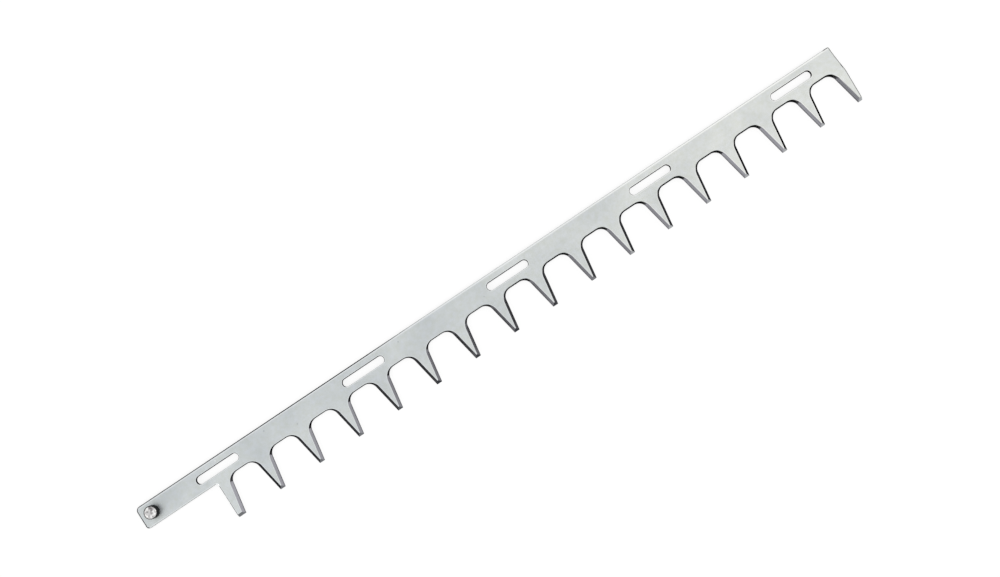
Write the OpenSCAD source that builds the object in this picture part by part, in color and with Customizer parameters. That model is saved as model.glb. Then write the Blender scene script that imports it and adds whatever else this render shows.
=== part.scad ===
// Single-sided hedge trimmer blade: a punched and ground comb of spring steel
// with a riveted drive pin, seen with its ground side up.
// Origin: on the drive pin's axis, in the ground side, where the pin's shoulder sits.
// +X runs along the strip to its far end, the teeth point to -Y, and the flat face
// that slides on the other blade looks down.

/* [Steel strip] */
// Thickness of the steel
steel_t = 2.5; // [1.8:0.1:3.5]
// Width of the strip behind the teeth, from its back edge to the gaps
strip_w = 18; // [16:0.5:22]

/* [Shank] */
// Drive pin's axis to the near end of the strip
heel_l = 10.3; // [9:0.1:16]
// Drive pin's axis to the sheared side of the first tooth
shank_l = 51; // [48:1:80]
// Radius of the corner at the back edge
heel_r = 3.4; // [1:0.2:6]
// Radius of the corner on the teeth's side
toe_r = 2.4; // [1:0.2:6]
// Radius in the corner between the shank and the first tooth
throat_r = 1.8; // [1:0.2:5]

/* [Teeth] */
// Number of teeth
tooth_count = 17; // [9:1:21]
// Distance from tooth to tooth
tooth_pitch = 35; // [33:0.5:40]
// Length of a tooth from the strip to its tip
tooth_l = 30; // [24:0.5:34]
// Width of a tip at the cutting edge
tip_w = 4.2; // [3.8:0.1:6]
// Lean of a cutting edge from the tooth's middle line, in degrees
flank_angle = 9.9; // [7:0.1:11]
// Radius in the corners of a gap
gap_r = 7; // [5:0.5:8]
// First tooth's middle line to its sheared side
first_side_w = 3.7; // [3:0.1:6]

/* [Far end] */
// Last tooth's middle line to the end at the back edge
end_back_w = 3; // [2:0.1:6]
// Last tooth's middle line to the end where it stands out most
end_bulge_w = 3.8; // [2.5:0.1:7]
// Back edge to the place where the end stands out most
end_bulge_d = 22; // [19:0.5:26]
// Last tooth's middle line to its sheared side at the tip
end_tip_w = 1.6; // [1:0.1:4]
// Radius of the corner at the back edge
end_r = 1.2; // [0.6:0.2:4]

/* [Grinding] */
// Height of the upright edge that the grinding leaves along a gap
edge_land = 0.35; // [0.3:0.05:0.8]
// Height of the upright edge that the grinding leaves at a tip
tip_land = 0.25; // [0.1:0.05:0.25]
// Lean of the ground faces from upright, in degrees
bevel_angle = 45; // [35:1:50]
// How far the wheel stops short of the bottom of a gap
wheel_short = 1.65; // [1:0.05:1.9]

/* [Guide slots] */
// Number of slots
slot_count = 5; // [3:1:6]
// Width of a slot
slot_w = 6.3; // [5:0.1:8]
// Distance between the centres of a slot's two round ends
slot_travel = 30; // [20:1:36]
// First tooth's middle line to the middle of the first slot
first_slot_in = 2.2; // [0:0.1:8]
// Middle of the last slot to the last tooth's middle line
last_slot_in = 37.8; // [30:0.1:60]

/* [Drive pin] */
// Diameter of the free pin
pin_d = 10; // [8:0.1:12]
// Height of the free pin above the ground side
pin_h = 7.2; // [5:0.1:10]
// Chamfer round the pin's top
pin_chamfer = 0.6; // [0.3:0.1:1]
// Diameter of the stem in the strip's hole
stem_d = 7; // [5:0.1:7.4]
// Diameter of the riveted tail at the flat face
tail_d = 9; // [8:0.1:10]
// Depth of the countersink that the tail fills
tail_h = 1; // [0.6:0.1:1.4]

/* [Hidden] */
$fn = 96;
steel_color = [0.80, 0.81, 0.81];
pin_color = [0.70, 0.70, 0.70];
// Every cut runs past the steel by this much
overrun = 1;
// Every arc runs this much past the straight lines that it rounds into, so that
// the two cross in one clean point
arc_lap = 0.001;

// Edges of the strip: the drive pin and the slots lie on its middle line
back_y = strip_w / 2;
front_y = -strip_w / 2;
tip_y = front_y - tooth_l;
heel_x = -heel_l;
// The flat face lies one thickness below the ground side
flat_z = -steel_t;

// Teeth
first_side_x = shank_l;
first_tooth_x = first_side_x + first_side_w;
last_tooth_x = first_tooth_x + (tooth_count - 1) * tooth_pitch;
flank_slope = tan(flank_angle);
end_x = last_tooth_x + max(end_back_w, end_bulge_w, end_tip_w);

// A gap's two corner arcs, seen from the gap's middle line: the flank runs
// tangent to the arc, and the tip width fixes where the flank ends
gap_mouth_half = (tooth_pitch - tip_w) / 2;
gap_floor_half = gap_mouth_half - tooth_l * flank_slope;
corner_y = front_y - gap_r;
corner_x = gap_floor_half + gap_r * flank_slope - gap_r / cos(flank_angle);

// The wheel follows the same flanks, but stops short of the gap's floor
wheel_y = corner_y - wheel_short;
wheel_x = corner_x + wheel_short * flank_slope;
// Run of a ground face from the edge up to the ground side
bevel_w = (steel_t - edge_land) * tan(bevel_angle);
// Length of a pass along a flank, from the corner to past the tip
flank_run = (wheel_y - tip_y + gap_r + bevel_w + overrun) / cos(flank_angle);

// Slots
first_slot_x = first_tooth_x + first_slot_in;
slot_pitch = (last_tooth_x - last_slot_in - first_slot_x) / (slot_count - 1);

function gap_x(i) = first_tooth_x + (i + 0.5) * tooth_pitch;
function slot_x(i) = first_slot_x + i * slot_pitch;
// Reach of the ground face from the wheel's corner centre, z above the flat face
function wheel_reach(z) = gap_r + (z - edge_land) * tan(bevel_angle);

// What a round corner of radius r loses, with the corner at the origin and
// the steel in the quadrant of negative x and positive y
module corner_loss(r) {
    difference() {
        translate([-r, -overrun]) square([r + overrun, r + overrun]);
        translate([-r, r]) circle(r + arc_lap);
    }
}

// One gap between two teeth, punched: a flat floor, two round corners and
// two leaning flanks, open past the tips
module gap_outline() {
    mouth_y = tip_y - overrun;
    mouth_half = gap_mouth_half + overrun * flank_slope;
    touch_x = corner_x + gap_r * cos(flank_angle);
    touch_y = corner_y + gap_r * sin(flank_angle);
    for (side = [-1, 1]) translate([side * corner_x, corner_y]) circle(gap_r + arc_lap);
    polygon([
        [-corner_x, front_y], [corner_x, front_y],
        [touch_x, touch_y], [mouth_half, mouth_y],
        [-mouth_half, mouth_y], [-touch_x, touch_y]
    ]);
}

module slot_outline() {
    square([slot_travel, slot_w], center = true);
    for (side = [-1, 1]) translate([side * slot_travel / 2, 0]) circle(d = slot_w);
}

// The punched strip as seen from above
module punched_outline() {
    difference() {
        polygon([
            [heel_x, back_y], [heel_x, front_y],
            [first_side_x - throat_r, front_y], [first_side_x, front_y - throat_r],
            [first_side_x, tip_y], [last_tooth_x + end_tip_w, tip_y],
            [last_tooth_x + end_bulge_w, back_y - end_bulge_d],
            [last_tooth_x + end_back_w, 0], [last_tooth_x + end_back_w, back_y]
        ]);
        translate([first_side_x - throat_r, front_y - throat_r]) circle(throat_r + arc_lap);
        for (i = [0 : tooth_count - 2]) translate([gap_x(i), 0]) gap_outline();
        for (i = [0 : slot_count - 1]) translate([slot_x(i), 0]) slot_outline();
        translate([heel_x, back_y]) rotate(180) corner_loss(heel_r);
        translate([heel_x, front_y]) mirror([1, 0]) corner_loss(toe_r);
        translate([last_tooth_x + end_back_w, back_y]) mirror([0, 1]) corner_loss(end_r);
        circle(d = stem_d);
    }
}

// Section of the grinding wheel's pass: reach outward against height
module wheel_section() {
    low_z = -overrun / 2;
    high_z = steel_t + overrun;
    polygon([
        [0, low_z], [wheel_reach(low_z), low_z],
        [wheel_reach(high_z), high_z], [0, high_z]
    ]);
}

// A straight pass of length run along +X, its ground face to the +Y side
module wheel_pass(run) {
    rotate([90, 0, 90]) linear_extrude(run) wheel_section();
}

// All that the wheel takes off round one gap
module gap_grinding() {
    translate([-wheel_x, wheel_y, 0]) wheel_pass(2 * wheel_x);
    for (side = [0, 1]) mirror([side, 0, 0]) translate([wheel_x, wheel_y, 0]) {
        rotate_extrude() wheel_section();
        rotate([0, 0, flank_angle - 90]) wheel_pass(flank_run);
    }
}

// The ground faces on the tips, one straight pass along the whole blade
module tip_grinding() {
    low_z = -overrun / 2;
    high_z = steel_t + overrun;
    lean = tan(bevel_angle);
    translate([first_side_x - overrun, tip_y, 0])
        rotate([90, 0, 90]) linear_extrude(end_x - first_side_x + 2 * overrun)
            polygon([
                [(low_z - tip_land) * lean, low_z], [(high_z - tip_land) * lean, high_z],
                [-overrun, high_z], [-overrun, low_z]
            ]);
}

// The countersink in the flat face that the pin's tail fills
module tail_cone() {
    flare = (tail_d - stem_d) / 2 / tail_h;
    translate([0, 0, -overrun])
        cylinder(d1 = tail_d + 2 * overrun * flare, d2 = stem_d, h = tail_h + overrun);
}

module blade() {
    color(steel_color) translate([0, 0, flat_z]) difference() {
        linear_extrude(steel_t) punched_outline();
        for (i = [0 : tooth_count - 2]) translate([gap_x(i), 0, 0]) gap_grinding();
        tip_grinding();
        tail_cone();
    }
}

// Drive pin: turned head on the ground side, stem through the strip, and a tail
// riveted flush into the countersink so that the flat face can slide
module drive_pin() {
    head_r = pin_d / 2;
    color(pin_color) rotate_extrude() polygon([
        [0, flat_z], [tail_d / 2, flat_z], [stem_d / 2, flat_z + tail_h], [stem_d / 2, 0],
        [head_r, 0], [head_r, pin_h - pin_chamfer], [head_r - pin_chamfer, pin_h], [0, pin_h]
    ]);
}

blade();
drive_pin();
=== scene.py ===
import math

import bmesh
import bpy
import numpy as np
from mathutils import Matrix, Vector


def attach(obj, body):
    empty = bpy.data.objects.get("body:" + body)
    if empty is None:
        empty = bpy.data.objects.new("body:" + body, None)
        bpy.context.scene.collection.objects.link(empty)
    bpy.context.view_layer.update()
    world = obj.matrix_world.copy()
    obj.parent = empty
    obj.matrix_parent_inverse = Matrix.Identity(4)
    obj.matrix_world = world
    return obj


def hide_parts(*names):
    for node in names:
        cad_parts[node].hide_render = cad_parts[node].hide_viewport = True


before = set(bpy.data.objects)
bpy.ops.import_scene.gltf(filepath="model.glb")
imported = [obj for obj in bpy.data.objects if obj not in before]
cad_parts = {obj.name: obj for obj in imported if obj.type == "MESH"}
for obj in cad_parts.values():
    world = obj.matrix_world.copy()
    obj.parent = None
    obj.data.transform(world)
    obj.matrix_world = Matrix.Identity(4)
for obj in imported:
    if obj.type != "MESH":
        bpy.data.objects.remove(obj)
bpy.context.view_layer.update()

# The part is the moving blade of a hedge trimmer: a steel comb that lies flat on
# its twin and is pushed to and fro by the pin riveted into its shank. Every place
# below is in metres from the pin's axis, with the ground side of the steel at 0.
MM = 0.001

# Blade
# One strip of spring steel, punched out to 17 teeth with five guide slots, then
# hardened and fine ground on both sides. A form wheel has ground a leaning face
# round every gap, and one straight pass has ground the tips.
BACK_Y, ROOT_Y, TIP_Y = 9 * MM, -9 * MM, -39 * MM
NEAR_X, FAR_X = -10.3 * MM, 618.5 * MM
THICKNESS = 2.5 * MM
RIM = 0.45 * MM
SLOT_RIM = 0.4 * MM
HIGHLIGHT_BAND_WIDTH = 0.35 * MM
FACE_DARK, FACE_LIGHT = "#C3C7C8", "#D0D3D2"
# Painted shade: the bevels' dark tones and the near black, see their materials
BEVEL_DARK, BEVEL_LIGHT, NEAR_BLACK = "#2C2C2E", "#444447", "#08080A"
# Painted reflection: the tips' tones, set by place along the blade
TIP_DARK, TIP_GREY, TIP_LIGHT = "#3C3E43", "#7B7D80", "#B6B8BA"
WALL_DARK, WALL_LIGHT = "#151619", "#3C3E41"
RIM_DARK, WORN = "#101114", "#C9CCCC"
# The blade's materials, in the order in which its faces number them
FACE, BEVEL, TIP, WALL, ROLLED, HIGHLIGHT_BAND = range(6)


def linear(code):
    """Linear colour of an sRGB hex code: each channel through the sRGB curve."""
    channels = [int(code[i:i + 2], 16) / 255 for i in (1, 3, 5)]
    return [c / 12.92 if c <= 0.04045 else ((c + 0.055) / 1.055) ** 2.4
            for c in channels] + [1.0]


def add(tree, kind, inputs=None, **settings):
    """Adds one node with its settings. An input is a value, or the socket it links to."""
    node = tree.nodes.new(kind)
    for name, value in settings.items():
        setattr(node, name, value)
    for name, value in (inputs or {}).items():
        if isinstance(value, bpy.types.NodeSocket):
            tree.links.new(value, node.inputs[name])
        else:
            node.inputs[name].default_value = value
    return node


def new_material(name):
    """A material with an empty Principled surface: returns it, its tree and its shader."""
    material = bpy.data.materials.new(name)
    material.use_nodes = True
    shader = material.node_tree.nodes["Principled BSDF"]
    return material, material.node_tree, shader


# Fine ground spring steel: satin grey with a soft sheen. The eye gets slow clouds
# of oil and handling, faint lines along the strip, and a few small stains.
face_steel, tree, shader = new_material("fine_ground_spring_steel")
place = add(tree, "ShaderNodeTexCoord").outputs["Object"]
spot = add(tree, "ShaderNodeSeparateXYZ", {"Vector": place})
clouds = add(tree, "ShaderNodeTexNoise", {
    "Vector": place, "Scale": 1 / (38 * MM), "Detail": 4.0, "Roughness": 0.55})
cloud_share = add(tree, "ShaderNodeMapRange", {
    "Value": clouds.outputs["Fac"], "From Min": 0.35, "From Max": 0.65})
# The teeth are a little brighter towards their tips, where hands and hedge polish them
tooth_share = add(tree, "ShaderNodeMapRange", {
    "Value": spot.outputs["Y"], "From Min": ROOT_Y - 5 * MM, "From Max": TIP_Y,
    "To Min": 0.0, "To Max": 0.45})
tone = add(tree, "ShaderNodeMath", {
    0: cloud_share.outputs["Result"], 1: tooth_share.outputs["Result"]},
    operation="ADD", use_clamp=True)
steel_tone = add(tree, "ShaderNodeMix", {
    "Factor": tone.outputs["Value"], "A": linear(FACE_DARK), "B": linear(FACE_LIGHT)},
    data_type="RGBA")
# Small blotches of dried oil, some of them warmer and some cooler than the steel
blotches = add(tree, "ShaderNodeTexNoise", {
    "Vector": place, "Scale": 1 / (4 * MM), "Detail": 6.0, "Roughness": 0.7})
blotch_share = add(tree, "ShaderNodeMapRange", {
    "Value": blotches.outputs["Fac"], "From Min": 0.35, "From Max": 0.65})
blotch_tone = add(tree, "ShaderNodeMix", {
    "Factor": blotch_share.outputs["Result"],
    "A": linear("#F2F3EE"), "B": linear("#FBFCFF")}, data_type="RGBA")
steel_tone = add(tree, "ShaderNodeMix", {
    "Factor": 1.0, "A": steel_tone.outputs["Result"], "B": blotch_tone.outputs["Result"]},
    data_type="RGBA", blend_type="MULTIPLY")
# The guide polishes a narrow band along the back edge
polish = add(tree, "ShaderNodeMapRange", {
    "Value": spot.outputs["Y"],
    "From Min": BACK_Y - 1.8 * MM, "From Max": BACK_Y - 1.2 * MM,
    "To Min": 0.0, "To Max": 0.55})
polished = add(tree, "ShaderNodeMix", {
    "Factor": polish.outputs["Result"], "A": steel_tone.outputs["Result"],
    "B": linear("#ECEEEE")}, data_type="RGBA")
# A few dark specks and one bright one, each with its place and its radius in mm
skin_tone = polished.outputs["Result"]
for x, y, radius, code in (
        (100.8, 4.2, 0.75, "#8E9498"), (220.8, 3.9, 0.7, "#959B9E"),
        (293.3, -3.7, 0.6, "#9DA2A4"), (124.5, -5.3, 0.7, "#989EA1"),
        (58.5, 5.9, 0.7, "#E9EBEB")):
    away = add(tree, "ShaderNodeVectorMath", {
        0: place, 1: (x * MM, y * MM, 0.0)}, operation="DISTANCE")
    share = add(tree, "ShaderNodeMapRange", {
        "Value": away.outputs["Value"], "From Min": 0.4 * radius * MM, "From Max": radius * MM,
        "To Min": 0.6, "To Max": 0.0})
    marked = add(tree, "ShaderNodeMix", {
        "Factor": share.outputs["Result"], "A": skin_tone, "B": linear(code)}, data_type="RGBA")
    skin_tone = marked.outputs["Result"]
tree.links.new(skin_tone, shader.inputs["Base Color"])
# Grinding lines are really some 0.05 mm apart: they are drawn at 0.25 mm to show
line_place = add(tree, "ShaderNodeMapping", {
    "Vector": place, "Scale": (1 / (30 * MM), 1 / (0.25 * MM), 1 / (2 * MM))})
lines = add(tree, "ShaderNodeTexNoise", {
    "Vector": line_place.outputs["Vector"], "Scale": 1.0, "Detail": 2.0})
smudges = add(tree, "ShaderNodeTexNoise", {
    "Vector": place, "Scale": 1 / (9 * MM), "Detail": 5.0, "Roughness": 0.6})
sheen = add(tree, "ShaderNodeMapRange", {
    "Value": smudges.outputs["Fac"], "From Min": 0.3, "From Max": 0.7,
    "To Min": 0.35, "To Max": 0.44})
relief = add(tree, "ShaderNodeBump", {
    "Height": lines.outputs["Fac"], "Strength": 0.25, "Distance": 0.01 * MM})
tree.links.new(sheen.outputs["Result"], shader.inputs["Roughness"])
tree.links.new(relief.outputs["Normal"], shader.inputs["Normal"])
shader.inputs["Metallic"].default_value = 1.0

# Wheel ground bevel: sharply mirroring steel with coarse lines that run level round
# each gap. Its dark base colour is painted shade, standing in for dark surroundings
# mirrored in it, so it is nearly black to the eye where it looks at no lamp.
bevel_steel, tree, shader = new_material("wheel_ground_bevel")
place = add(tree, "ShaderNodeTexCoord").outputs["Object"]
line_place = add(tree, "ShaderNodeMapping", {
    "Vector": place, "Scale": (1 / (25 * MM), 1 / (25 * MM), 1 / (0.5 * MM))})
lines = add(tree, "ShaderNodeTexNoise", {
    "Vector": line_place.outputs["Vector"], "Scale": 1.0, "Detail": 3.0})
bevel_tone = add(tree, "ShaderNodeMix", {
    "Factor": lines.outputs["Fac"], "A": linear(BEVEL_DARK), "B": linear(BEVEL_LIGHT)},
    data_type="RGBA")
# Painted shade: the root of each gap is darkened to near black
spot = add(tree, "ShaderNodeSeparateXYZ", {"Vector": place})
root_place = add(tree, "ShaderNodeMapRange", {
    "Value": spot.outputs["Y"],
    "From Min": ROOT_Y - 4.4 * MM, "From Max": ROOT_Y - 2.6 * MM})
# The first gap's root stays grey, with only a fifth of this painted shade
past_first = add(tree, "ShaderNodeMapRange", {
    "Value": spot.outputs["X"], "From Min": 78 * MM, "From Max": 98 * MM,
    "To Min": 0.2, "To Max": 1.0})
root = add(tree, "ShaderNodeMath", {
    0: root_place.outputs["Result"], 1: past_first.outputs["Result"]}, operation="MULTIPLY")
# Painted shade: a dark band along the cutting edge, where the blade meets the table
edge_shade = add(tree, "ShaderNodeMapRange", {
    "Value": spot.outputs["Z"], "From Min": -1.7 * MM, "From Max": -2.0 * MM,
    "To Min": 0.0, "To Max": 0.8})
dark_share = add(tree, "ShaderNodeMath", {
    0: root.outputs["Value"], 1: edge_shade.outputs["Result"]}, operation="MAXIMUM")
bevel_tone = add(tree, "ShaderNodeMix", {
    "Factor": dark_share.outputs["Value"], "A": bevel_tone.outputs["Result"],
    "B": linear(NEAR_BLACK)}, data_type="RGBA")
relief = add(tree, "ShaderNodeBump", {
    "Height": lines.outputs["Fac"], "Strength": 0.4, "Distance": 0.01 * MM})
tree.links.new(bevel_tone.outputs["Result"], shader.inputs["Base Color"])
tree.links.new(relief.outputs["Normal"], shader.inputs["Normal"])
shader.inputs["Metallic"].default_value = 1.0
shader.inputs["Roughness"].default_value = 0.16
# Painted shade: a black specular tint makes the bevel give back far less than a
# mirror at a low angle
shader.inputs["Specular Tint"].default_value = linear("#000000")

# Ground tip: one straight pass of a finer wheel, with lines along the blade. Its
# tone is painted reflection: dark on the middle teeth, grey towards the shank and
# bright at the far end.
tip_steel, tree, shader = new_material("straight_ground_tip")
place = add(tree, "ShaderNodeTexCoord").outputs["Object"]
line_place = add(tree, "ShaderNodeMapping", {
    "Vector": place, "Scale": (1 / (6 * MM), 1 / (0.15 * MM), 1 / (0.15 * MM))})
lines = add(tree, "ShaderNodeTexNoise", {
    "Vector": line_place.outputs["Vector"], "Scale": 1.0, "Detail": 3.0})
spot = add(tree, "ShaderNodeSeparateXYZ", {"Vector": place})
near_share = add(tree, "ShaderNodeMapRange", {
    "Value": spot.outputs["X"], "From Min": 220 * MM, "From Max": 165 * MM})
far_share = add(tree, "ShaderNodeMapRange", {
    "Value": spot.outputs["X"], "From Min": 340 * MM, "From Max": 410 * MM})
near_tone = add(tree, "ShaderNodeMix", {
    "Factor": near_share.outputs["Result"], "A": linear(TIP_DARK), "B": linear(TIP_GREY)},
    data_type="RGBA")
tip_tone = add(tree, "ShaderNodeMix", {
    "Factor": far_share.outputs["Result"], "A": near_tone.outputs["Result"],
    "B": linear(TIP_LIGHT)}, data_type="RGBA")
line_share = add(tree, "ShaderNodeMapRange", {
    "Value": lines.outputs["Fac"], "From Min": 0.3, "From Max": 0.7,
    "To Min": 0.7, "To Max": 1.0})
lined = add(tree, "ShaderNodeMix", {
    "Factor": 1.0, "A": tip_tone.outputs["Result"],
    "B": line_share.outputs["Result"]}, data_type="RGBA", blend_type="MULTIPLY")
tree.links.new(lined.outputs["Result"], shader.inputs["Base Color"])
shader.inputs["Metallic"].default_value = 1.0
shader.inputs["Roughness"].default_value = 0.3

# Punched edge: the punch leaves a burnished band at the top and torn, dark steel
# with upright streaks below it.
wall_steel, tree, shader = new_material("punched_edge")
place = add(tree, "ShaderNodeTexCoord").outputs["Object"]
spot = add(tree, "ShaderNodeSeparateXYZ", {"Vector": place})
streak_place = add(tree, "ShaderNodeMapping", {
    "Vector": place, "Scale": (1 / (0.3 * MM), 1 / (0.3 * MM), 1 / (3 * MM))})
streaks = add(tree, "ShaderNodeTexNoise", {
    "Vector": streak_place.outputs["Vector"], "Scale": 1.0, "Detail": 3.0})
band = add(tree, "ShaderNodeMapRange", {
    "Value": spot.outputs["Z"], "From Min": -1.4 * MM, "From Max": -0.7 * MM})
burnish = add(tree, "ShaderNodeMath", {
    0: band.outputs["Result"], 1: streaks.outputs["Fac"]}, operation="MULTIPLY")
wall_tone = add(tree, "ShaderNodeMix", {
    "Factor": burnish.outputs["Value"], "A": linear(WALL_DARK), "B": linear(WALL_LIGHT)},
    data_type="RGBA")
relief = add(tree, "ShaderNodeBump", {
    "Height": streaks.outputs["Fac"], "Strength": 0.5, "Distance": 0.03 * MM})
tree.links.new(wall_tone.outputs["Result"], shader.inputs["Base Color"])
tree.links.new(relief.outputs["Normal"], shader.inputs["Normal"])
shader.inputs["Metallic"].default_value = 1.0
shader.inputs["Roughness"].default_value = 0.42
shader.inputs["Specular Tint"].default_value = linear("#000000")

# Rolled edge: the punch draws the top edge down a little. It is dark in the slots,
# round both ends and at the back along the shank's half.
rim_steel, tree, shader = new_material("rolled_edge")
place = add(tree, "ShaderNodeTexCoord").outputs["Object"]
spot = add(tree, "ShaderNodeSeparateXYZ", {"Vector": place})
wear_noise = add(tree, "ShaderNodeTexNoise", {
    "Vector": place, "Scale": 1 / (14 * MM), "Detail": 4.0, "Roughness": 0.6})
# The back edge is worn bright along the far half
far_half = add(tree, "ShaderNodeMapRange", {
    "Value": spot.outputs["X"], "From Min": 175 * MM, "From Max": 270 * MM,
    "To Min": -0.1, "To Max": 0.75})
at_back = add(tree, "ShaderNodeMapRange", {
    "Value": spot.outputs["Y"], "From Min": 5 * MM, "From Max": 7 * MM})
back_wear = add(tree, "ShaderNodeMath", {
    0: far_half.outputs["Result"], 1: at_back.outputs["Result"]}, operation="MULTIPLY")
# Edges that look to the teeth's side are worn too
tooth_side = add(tree, "ShaderNodeMapRange", {
    "Value": spot.outputs["Y"], "From Min": -2.5 * MM, "From Max": -3.0 * MM,
    "To Min": 0.0, "To Max": 0.95})
off_tooth = add(tree, "ShaderNodeMapRange", {
    "Value": spot.outputs["Y"], "From Min": ROOT_Y - 3 * MM, "From Max": ROOT_Y - 1 * MM,
    "To Min": 0.15, "To Max": 1.0})
side_wear = add(tree, "ShaderNodeMath", {
    0: tooth_side.outputs["Result"], 1: off_tooth.outputs["Result"]}, operation="MULTIPLY")
both_wear = add(tree, "ShaderNodeMath", {
    0: back_wear.outputs["Value"], 1: side_wear.outputs["Value"]}, operation="ADD")
near_end = add(tree, "ShaderNodeMapRange", {
    "Value": spot.outputs["X"],
    "From Min": NEAR_X + 1.3 * MM, "From Max": NEAR_X + 2.8 * MM})
far_end = add(tree, "ShaderNodeMapRange", {
    "Value": spot.outputs["X"],
    "From Min": FAR_X - 4.5 * MM, "From Max": FAR_X - 6.5 * MM})
between = add(tree, "ShaderNodeMath", {
    0: near_end.outputs["Result"], 1: far_end.outputs["Result"]}, operation="MULTIPLY")
place_wear = add(tree, "ShaderNodeMath", {
    0: both_wear.outputs["Value"], 1: between.outputs["Value"]}, operation="MULTIPLY")
wear = add(tree, "ShaderNodeMath", {
    0: place_wear.outputs["Value"], 1: wear_noise.outputs["Fac"]}, operation="ADD")
wear_share = add(tree, "ShaderNodeMapRange", {
    "Value": wear.outputs["Value"], "From Min": 0.65, "From Max": 1.15})
rim_tone = add(tree, "ShaderNodeMix", {
    "Factor": wear_share.outputs["Result"], "A": linear(RIM_DARK), "B": linear(WORN)},
    data_type="RGBA")
tree.links.new(rim_tone.outputs["Result"], shader.inputs["Base Color"])
shader.inputs["Metallic"].default_value = 1.0
shader.inputs["Roughness"].default_value = 0.4
shader.inputs["Specular Tint"].default_value = linear("#000000")

# Painted highlight: a narrow bright band on the top beside every edge
band_steel, tree, shader = new_material("painted_edge_highlight")
place = add(tree, "ShaderNodeTexCoord").outputs["Object"]
band_mottle = add(tree, "ShaderNodeTexNoise", {
    "Vector": place, "Scale": 1 / (5 * MM), "Detail": 4.0, "Roughness": 0.6})
band_tone = add(tree, "ShaderNodeMix", {
    "Factor": band_mottle.outputs["Fac"], "A": linear("#D3D6D6"), "B": linear("#E6E8E7")},
    data_type="RGBA")
# Painted shade: along the far half the band is blackened round the gaps' roots
spot = add(tree, "ShaderNodeSeparateXYZ", {"Vector": place})
past_middle = add(tree, "ShaderNodeMapRange", {
    "Value": spot.outputs["X"], "From Min": 240 * MM, "From Max": 330 * MM})
from_strip = add(tree, "ShaderNodeMapRange", {
    "Value": spot.outputs["Y"],
    "From Min": ROOT_Y + 2 * MM, "From Max": ROOT_Y + 1.4 * MM})
to_flank = add(tree, "ShaderNodeMapRange", {
    "Value": spot.outputs["Y"],
    "From Min": ROOT_Y - 3 * MM, "From Max": ROOT_Y - 1 * MM})
root_shade_place = add(tree, "ShaderNodeMath", {
    0: from_strip.outputs["Result"], 1: to_flank.outputs["Result"]}, operation="MULTIPLY")
root_shade = add(tree, "ShaderNodeMath", {
    0: root_shade_place.outputs["Value"], 1: past_middle.outputs["Result"]}, operation="MULTIPLY")
# Along the shank's half of the back the band is black
shank_half = add(tree, "ShaderNodeMapRange", {
    "Value": spot.outputs["X"], "From Min": 235 * MM, "From Max": 195 * MM})
handled = add(tree, "ShaderNodeMapRange", {
    "Value": spot.outputs["X"], "From Min": 0.0, "From Max": 140 * MM,
    "To Min": 0.55, "To Max": 1.0})
shank_black = add(tree, "ShaderNodeMath", {
    0: shank_half.outputs["Result"], 1: handled.outputs["Result"]}, operation="MULTIPLY")
at_back = add(tree, "ShaderNodeMapRange", {
    "Value": spot.outputs["Y"],
    "From Min": BACK_Y - 1.2 * MM, "From Max": BACK_Y - 0.9 * MM})
skin = add(tree, "ShaderNodeMath", {
    0: shank_black.outputs["Value"], 1: at_back.outputs["Result"]}, operation="MULTIPLY")
# and round both ends of the strip
near_end = add(tree, "ShaderNodeMapRange", {
    "Value": spot.outputs["X"],
    "From Min": NEAR_X + 2.3 * MM, "From Max": NEAR_X + 1.5 * MM,
    "To Min": 0.0, "To Max": 0.85})
far_end = add(tree, "ShaderNodeMapRange", {
    "Value": spot.outputs["X"],
    "From Min": FAR_X - 7.5 * MM, "From Max": FAR_X - 6 * MM,
    "To Min": 0.0, "To Max": 0.5})
ends = add(tree, "ShaderNodeMath", {
    0: near_end.outputs["Result"], 1: far_end.outputs["Result"]}, operation="MAXIMUM")
black = add(tree, "ShaderNodeMath", {
    0: root_shade.outputs["Value"], 1: skin.outputs["Value"]}, operation="MAXIMUM")
black = add(tree, "ShaderNodeMath", {
    0: black.outputs["Value"], 1: ends.outputs["Value"]}, operation="MAXIMUM")
band_tone = add(tree, "ShaderNodeMix", {
    "Factor": black.outputs["Value"], "A": band_tone.outputs["Result"],
    "B": linear(NEAR_BLACK)}, data_type="RGBA")
tree.links.new(band_tone.outputs["Result"], shader.inputs["Base Color"])
shader.inputs["Metallic"].default_value = 1.0
shader.inputs["Roughness"].default_value = 0.32

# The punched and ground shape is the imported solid's own: a merged copy of it gets
# one material to each kind of surface, told apart by where each face looks
blade_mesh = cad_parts["blade"].data.copy()
blade_mesh.name = "blade_steel"
work = bmesh.new()
work.from_mesh(blade_mesh)
bmesh.ops.remove_doubles(work, verts=work.verts, dist=0.02 * MM)
bmesh.ops.dissolve_limit(
    work, angle_limit=math.radians(0.3), verts=work.verts, edges=work.edges)
# The top edge that no wheel has ground is rolled, outside and round the slots. The
# slots' short arcs leave room for the full width, so nothing has to hold it back
outer, inner = [], []
for edge in work.edges:
    if len(edge.link_faces) == 2:
        low, high = sorted(face.normal.z for face in edge.link_faces)
        if abs(low) < 0.1 and high > 0.95:
            middle = (edge.verts[0].co + edge.verts[1].co) / 2
            in_slot = abs(middle.y) < 4 * MM and 30 * MM < middle.x < 600 * MM
            (inner if in_slot else outer).append(edge)
for edges, width in ((outer, RIM), (inner, SLOT_RIM)):
    bmesh.ops.bevel(
        work, geom=edges, offset=width, offset_type="OFFSET", affect="EDGES",
        segments=2, profile=0.5, clamp_overlap=edges is outer, material=ROLLED)
# The band of painted highlight is let into the flat top beside every edge
top = [face for face in work.faces
       if face.normal.z > 0.99 and face.calc_center_median().z > -0.05 * MM]
top = bmesh.ops.triangulate(work, faces=top)["faces"]
line = bmesh.ops.inset_region(
    work, faces=top, thickness=HIGHLIGHT_BAND_WIDTH, use_even_offset=True, use_boundary=True)
for face in line["faces"]:
    face.material_index = HIGHLIGHT_BAND
work.to_mesh(blade_mesh)
work.free()
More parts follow.
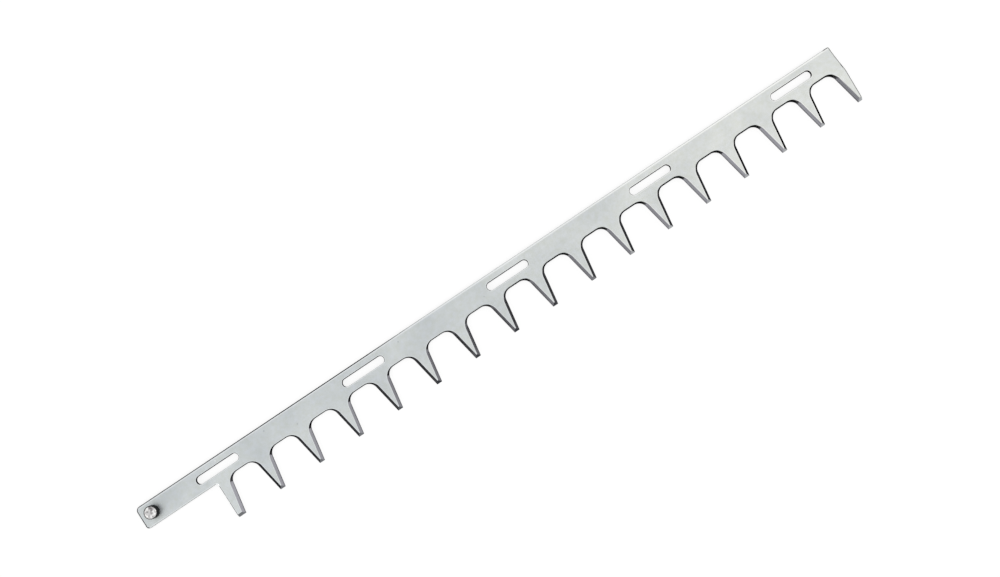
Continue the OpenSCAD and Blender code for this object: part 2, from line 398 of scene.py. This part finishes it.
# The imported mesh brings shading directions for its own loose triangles, which go
for layer in [a for a in blade_mesh.attributes if a.name == "custom_normal"]:
    blade_mesh.attributes.remove(layer)
count = len(blade_mesh.polygons)
given = np.zeros(count, np.int32)
blade_mesh.polygons.foreach_get("material_index", given)
blade_mesh.materials.clear()
for material in (face_steel, bevel_steel, tip_steel, wall_steel, rim_steel, band_steel):
    blade_mesh.materials.append(material)
looks = np.zeros(count * 3, np.float32)
blade_mesh.polygons.foreach_get("normal", looks)
looks = looks.reshape(-1, 3)
middles = np.zeros(count * 3, np.float32)
blade_mesh.polygons.foreach_get("center", middles)
middles = middles.reshape(-1, 3)
leaning = (looks[:, 2] > 0.3) & (looks[:, 2] < 0.95)
at_tip = leaning & (middles[:, 1] < TIP_Y + 3 * MM) & (looks[:, 1] < -0.6)
kind = np.select(
    [given == ROLLED, given == HIGHLIGHT_BAND, at_tip, leaning, np.abs(looks[:, 2]) < 0.3],
    [ROLLED, HIGHLIGHT_BAND, TIP, BEVEL, WALL], default=FACE)
blade_mesh.polygons.foreach_set("material_index", kind.astype(np.int32))
blade_mesh.polygons.foreach_set("use_smooth", np.ones(count, bool))
blade_mesh.set_sharp_from_angle(angle=math.radians(22))
blade = bpy.data.objects.new("blade_steel", blade_mesh)
bpy.context.scene.collection.objects.link(blade)
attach(blade, "root")
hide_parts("blade")

# Drive pin
# A hardened steel pin, turned, put through the shank and riveted flush on the flat
# side. Its head was struck while its tail was upset, so its top is beaten into
# facets, and its side still has the black skin from hardening.
PIN_R = 5 * MM
PIN_TOP = 7.2 * MM
PIN_CHAMFER = 0.6 * MM
STEM_R, TAIL_R, TAIL_H = 3.5 * MM, 4.5 * MM, 1 * MM
SECTORS = 96
PIN_BRIGHT, PIN_DULL, PIN_SKIN = "#FBFAF7", "#655F60", "#0B0D0E"

struck_steel, tree, shader = new_material("struck_pin_steel")
place = add(tree, "ShaderNodeTexCoord").outputs["Object"]
# Painted reflection: the top's light and dark blots, with some real wear and scale
tone = add(tree, "ShaderNodeAttribute", attribute_name="facet_reflection_tone")
grain = add(tree, "ShaderNodeTexNoise", {
    "Vector": place, "Scale": 1 / (1.1 * MM), "Detail": 4.0})
grain_share = add(tree, "ShaderNodeMapRange", {
    "Value": grain.outputs["Fac"], "From Min": 0.3, "From Max": 0.7,
    "To Min": -0.2, "To Max": 0.2})
bright_share = add(tree, "ShaderNodeMath", {
    0: tone.outputs["Fac"], 1: grain_share.outputs["Result"]},
    operation="ADD", use_clamp=True)
struck = add(tree, "ShaderNodeMix", {
    "Factor": bright_share.outputs["Value"], "A": linear(PIN_DULL), "B": linear(PIN_BRIGHT)},
    data_type="RGBA")
relief = add(tree, "ShaderNodeBump", {
    "Height": grain.outputs["Fac"], "Strength": 0.3, "Distance": 0.05 * MM})
tree.links.new(struck.outputs["Result"], shader.inputs["Base Color"])
tree.links.new(relief.outputs["Normal"], shader.inputs["Normal"])
shader.inputs["Metallic"].default_value = 1.0
shader.inputs["Roughness"].default_value = 0.3

# Hardening skin: a matt black oxide with fine turning marks showing through it
skin_steel, tree, shader = new_material("black_hardening_skin")
place = add(tree, "ShaderNodeTexCoord").outputs["Object"]
turn_place = add(tree, "ShaderNodeMapping", {
    "Vector": place, "Scale": (1 / (4 * MM), 1 / (4 * MM), 1 / (0.3 * MM))})
turning = add(tree, "ShaderNodeTexNoise", {
    "Vector": turn_place.outputs["Vector"], "Scale": 1.0, "Detail": 2.0})
skin_mix = add(tree, "ShaderNodeMix", {
    "Factor": turning.outputs["Fac"], "A": linear(PIN_SKIN), "B": linear("#141819")},
    data_type="RGBA")
relief = add(tree, "ShaderNodeBump", {
    "Height": turning.outputs["Fac"], "Strength": 0.3, "Distance": 0.03 * MM})
tree.links.new(skin_mix.outputs["Result"], shader.inputs["Base Color"])
tree.links.new(relief.outputs["Normal"], shader.inputs["Normal"])
shader.inputs["Roughness"].default_value = 0.6
shader.inputs["Specular IOR Level"].default_value = 0.05

# The profile runs from the middle of the tail out, up the side and in to the top. The
# blows reach the last three rings of the chamfer and all those of the top
TOP_RINGS = 26
HIT_RINGS = TOP_RINGS + 3
top_r = PIN_R - PIN_CHAMFER
profile = np.array(
    [(r * TAIL_R, -THICKNESS) for r in np.linspace(0.1, 1.0, 10)]
    + [(STEM_R, -THICKNESS + TAIL_H), (STEM_R, 0.0), (PIN_R, 0.0),
       (PIN_R, PIN_TOP / 2), (PIN_R, PIN_TOP - PIN_CHAMFER)]
    + [(PIN_R - share * PIN_CHAMFER, PIN_TOP - (1 - share ** 0.8) * PIN_CHAMFER)
       for share in (0.25, 0.5, 0.75, 1.0)]
    + [(top_r * r, PIN_TOP) for r in np.linspace(0.96, 0.04, TOP_RINGS)])


def beaten(x, y):
    """Depth below the flat top: the lowest of planes that fall outward past a distance.
    Each blow has left one plane: the way it falls, where it starts and its slope."""
    depth = np.zeros_like(x)
    for way, start, slope in (
            (118, 2.3, 0.22), (48, 1.2, 0.2), (-32, 1.9, 0.16), (-95, 2.7, 0.2),
            (185, 2.6, 0.22)):
        out = x * math.cos(math.radians(way)) + y * math.sin(math.radians(way))
        depth = np.maximum(depth, (out - start * MM) * slope)
    hollow = np.exp(-((x + 1.4 * MM) ** 2 + (y - 1.1 * MM) ** 2) / (1.2 * MM) ** 2)
    return depth + 0.12 * MM * hollow


def facet_reflection_tone(x, y):
    """Tone of the top from 0, dull, to 1, bright: a middle tone and soft round blots.
    The blots are painted reflection of what the facets mirror, with some real wear and scale.
    """
    tone = np.full_like(x, 0.5)
    for across, up, radius, change in (
            (-0.6, 3.6, 0.9, 0.5), (-2.2, 2.8, 0.8, 0.3), (0.4, 1.6, 0.6, 0.35),
            (1.5, 3.0, 1.1, -0.45), (2.3, 1.7, 1.1, -0.4), (1.5, 0.8, 0.6, -0.25),
            (-1.7, 1.5, 0.7, -0.4), (-3.6, 0.6, 0.8, 0.25), (-3.2, -1.3, 0.9, 0.25),
            (-0.7, 0.3, 0.6, 0.1), (0.6, -1.1, 0.9, -0.3), (2.4, -0.3, 0.6, 0.5),
            (3.6, 0.2, 0.6, 0.3), (2.4, -1.4, 0.6, 0.2), (2.4, -2.5, 0.7, 0.55),
            (-0.6, -2.5, 0.8, 0.5), (1.0, -2.5, 0.7, 0.25), (-1.6, -1.6, 0.6, -0.15),
            (0.2, -3.4, 0.6, -0.3), (-1.5, -3.3, 0.7, 0.2)):
        away = (x - across * MM) ** 2 + (y - up * MM) ** 2
        tone += change * np.exp(-away / (radius * MM) ** 2)
    return np.clip(tone, 0, 1)


angle = np.linspace(0, 2 * np.pi, SECTORS, endpoint=False)
ring_x = np.outer(profile[:, 0], np.cos(angle))
ring_y = np.outer(profile[:, 0], np.sin(angle))
ring_z = np.repeat(profile[:, 1:], SECTORS, axis=1)
ring_z[-HIT_RINGS:] -= beaten(ring_x[-HIT_RINGS:], ring_y[-HIT_RINGS:])
middle = np.zeros(1)
points = np.concatenate([
    np.stack([ring_x.ravel(), ring_y.ravel(), ring_z.ravel()], axis=1),
    [(0, 0, -THICKNESS), (0, 0, PIN_TOP - beaten(middle, middle)[0])]])
rings = len(profile)
index = np.arange(rings * SECTORS).reshape(rings, SECTORS)
after = np.roll(index, -1, axis=1)
quads = np.stack([index[:-1], after[:-1], after[1:], index[1:]], axis=-1).reshape(-1, 4)
below = np.stack([np.full(SECTORS, len(points) - 2), after[0], index[0]], axis=1)
above = np.stack([index[-1], after[-1], np.full(SECTORS, len(points) - 1)], axis=1)
pin_mesh = bpy.data.meshes.new("drive_pin_steel")
pin_mesh.from_pydata(points.tolist(), [], quads.tolist() + below.tolist() + above.tolist())
tone_layer = pin_mesh.attributes.new("facet_reflection_tone", "FLOAT", "POINT")
tone_layer.data.foreach_set("value", facet_reflection_tone(points[:, 0], points[:, 1]).astype(np.float32))
pin_mesh.materials.append(struck_steel)
pin_mesh.materials.append(skin_steel)
count = len(pin_mesh.polygons)
middles = np.zeros(count * 3, np.float32)
pin_mesh.polygons.foreach_get("center", middles)
middles = middles.reshape(-1, 3)
skinned = (middles[:, 2] > 0) & (
    np.hypot(middles[:, 0], middles[:, 1]) > PIN_R - 0.5 * PIN_CHAMFER)
pin_mesh.polygons.foreach_set("material_index", skinned.astype(np.int32))
pin_mesh.polygons.foreach_set("use_smooth", np.ones(count, bool))
pin_mesh.set_sharp_from_angle(angle=math.radians(28))
pin = bpy.data.objects.new("drive_pin_steel", pin_mesh)
bpy.context.scene.collection.objects.link(pin)
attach(pin, "root")
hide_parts("drive_pin")

# Floor
# A plain white table top under the flat side of the blade. It takes the soft shadow
# of the blade and shows in its steel.
REACH = 4.0
PLAIN_SHARE = 0.8
floor_mesh = bpy.data.meshes.new("floor")
floor_mesh.from_pydata(
    [(-REACH, -REACH, -THICKNESS), (REACH, -REACH, -THICKNESS),
     (REACH, REACH, -THICKNESS), (-REACH, REACH, -THICKNESS)], [], [(0, 1, 2, 3)])
floor_white, tree, shader = new_material("white_table_top")
shader.inputs["Base Color"].default_value = linear("#F4F4F4")
shader.inputs["Roughness"].default_value = 0.9
shader.inputs["Specular IOR Level"].default_value = 0.0
# Most of what the eye and the steel see of it is plain white, the rest takes the shadow
path = add(tree, "ShaderNodeLightPath")
seen = add(tree, "ShaderNodeMath", {
    0: path.outputs["Is Camera Ray"], 1: path.outputs["Is Glossy Ray"]}, operation="ADD")
seen = add(tree, "ShaderNodeMath", {
    0: seen.outputs["Value"], 1: path.outputs["Is Transmission Ray"]},
    operation="ADD", use_clamp=True)
plain = add(tree, "ShaderNodeMath", {
    0: seen.outputs["Value"], 1: PLAIN_SHARE}, operation="MULTIPLY")
plain_white = add(tree, "ShaderNodeEmission", {"Strength": 1.0})
lit = add(tree, "ShaderNodeMixShader", {
    "Fac": plain.outputs["Value"], 1: shader.outputs["BSDF"],
    2: plain_white.outputs["Emission"]})
# From below the table is clear, so that the flat side of the blade can be looked at
side = add(tree, "ShaderNodeNewGeometry")
clear = add(tree, "ShaderNodeBsdfTransparent")
table = add(tree, "ShaderNodeMixShader", {
    "Fac": side.outputs["Backfacing"], 1: lit.outputs["Shader"], 2: clear.outputs["BSDF"]})
tree.links.new(table.outputs["Shader"], tree.nodes["Material Output"].inputs["Surface"])
floor_mesh.materials.append(floor_white)
floor = bpy.data.objects.new("floor", floor_mesh)
bpy.context.scene.collection.objects.link(floor)

# Lamps
# A broad soft box hangs over the table, cooler over the shank and warmer over the
# far end. Past each end of the blade stands a low panel that the bevels look at.
BOX_Y, BOX_Z = 0.1, 1.6
PANEL_Y, PANEL_W = -0.45, 1.2


def soft_box(name, place, size, aim, radiance, tint):
    """A rectangular lamp: its power is radiance times pi times its area."""
    light = bpy.data.lights.new(name, "AREA")
    light.shape = "RECTANGLE"
    light.size, light.size_y = size
    light.energy = radiance * math.pi * size[0] * size[1]
    light.color = linear(tint)[:3]
    lamp = bpy.data.objects.new(name, light)
    bpy.context.scene.collection.objects.link(lamp)
    lamp.location = place
    lamp.rotation_euler = (Vector(aim) - Vector(place)).to_track_quat("-Z", "Y").to_euler()
    return lamp


for name, across, width, radiance, tint in (
        ("box_over_shank", -0.3, 1.8, 0.09, "#C8DCFF"),
        ("box_over_far_end", 1.2, 1.2, 0.37, "#FFF4E6")):
    soft_box(name, (across, BOX_Y, BOX_Z), (width, 2.2), (across, BOX_Y, 0.0), radiance, tint)
for name, across, height, way, radiance in (
        ("panel_at_shank", -1.2, 0.75, 1, 7.6), ("panel_at_far_end", 1.8, 0.6, -1, 9.0)):
    panel = soft_box(name, (across, PANEL_Y, height / 2), (PANEL_W, height),
                     (across + way, PANEL_Y, height / 2), radiance, "#FFFFFF")
    # Each panel is weaker towards the table
    panel.data.use_nodes = True
    tree = panel.data.node_tree
    spread = add(tree, "ShaderNodeNewGeometry").outputs["Parametric"]
    parts = add(tree, "ShaderNodeSeparateXYZ", {"Vector": spread})
    upward = add(tree, "ShaderNodeMapRange", {
        "Value": parts.outputs["Y"], "From Max": 0.8, "To Min": 0.3, "To Max": 1.0})
    tree.links.new(upward.outputs["Result"], tree.nodes["Emission"].inputs["Strength"])

world = bpy.data.worlds.new("studio")
bpy.context.scene.world = world
world.use_nodes = True
world.node_tree.nodes["Background"].inputs["Color"].default_value = linear("#FFFFFF")
world.node_tree.nodes["Background"].inputs["Strength"].default_value = 0.95

# Camera
# It stands 0.86 m above the blade, level with the middle of its length, and is
# turned so that the blade rises to the right across the picture.
camera_data = bpy.data.cameras.new("camera")
camera_data.sensor_width = 36.0
camera_data.lens = 41.1
camera = bpy.data.objects.new("camera", camera_data)
bpy.context.scene.collection.objects.link(camera)
camera.location = (275.4 * MM, -73.27 * MM, 855.8 * MM)
camera.rotation_euler = [math.radians(a) for a in (4.931, 0.793, -33.8)]
bpy.context.scene.camera = camera
bpy.context.scene.view_settings.view_transform = "Standard"
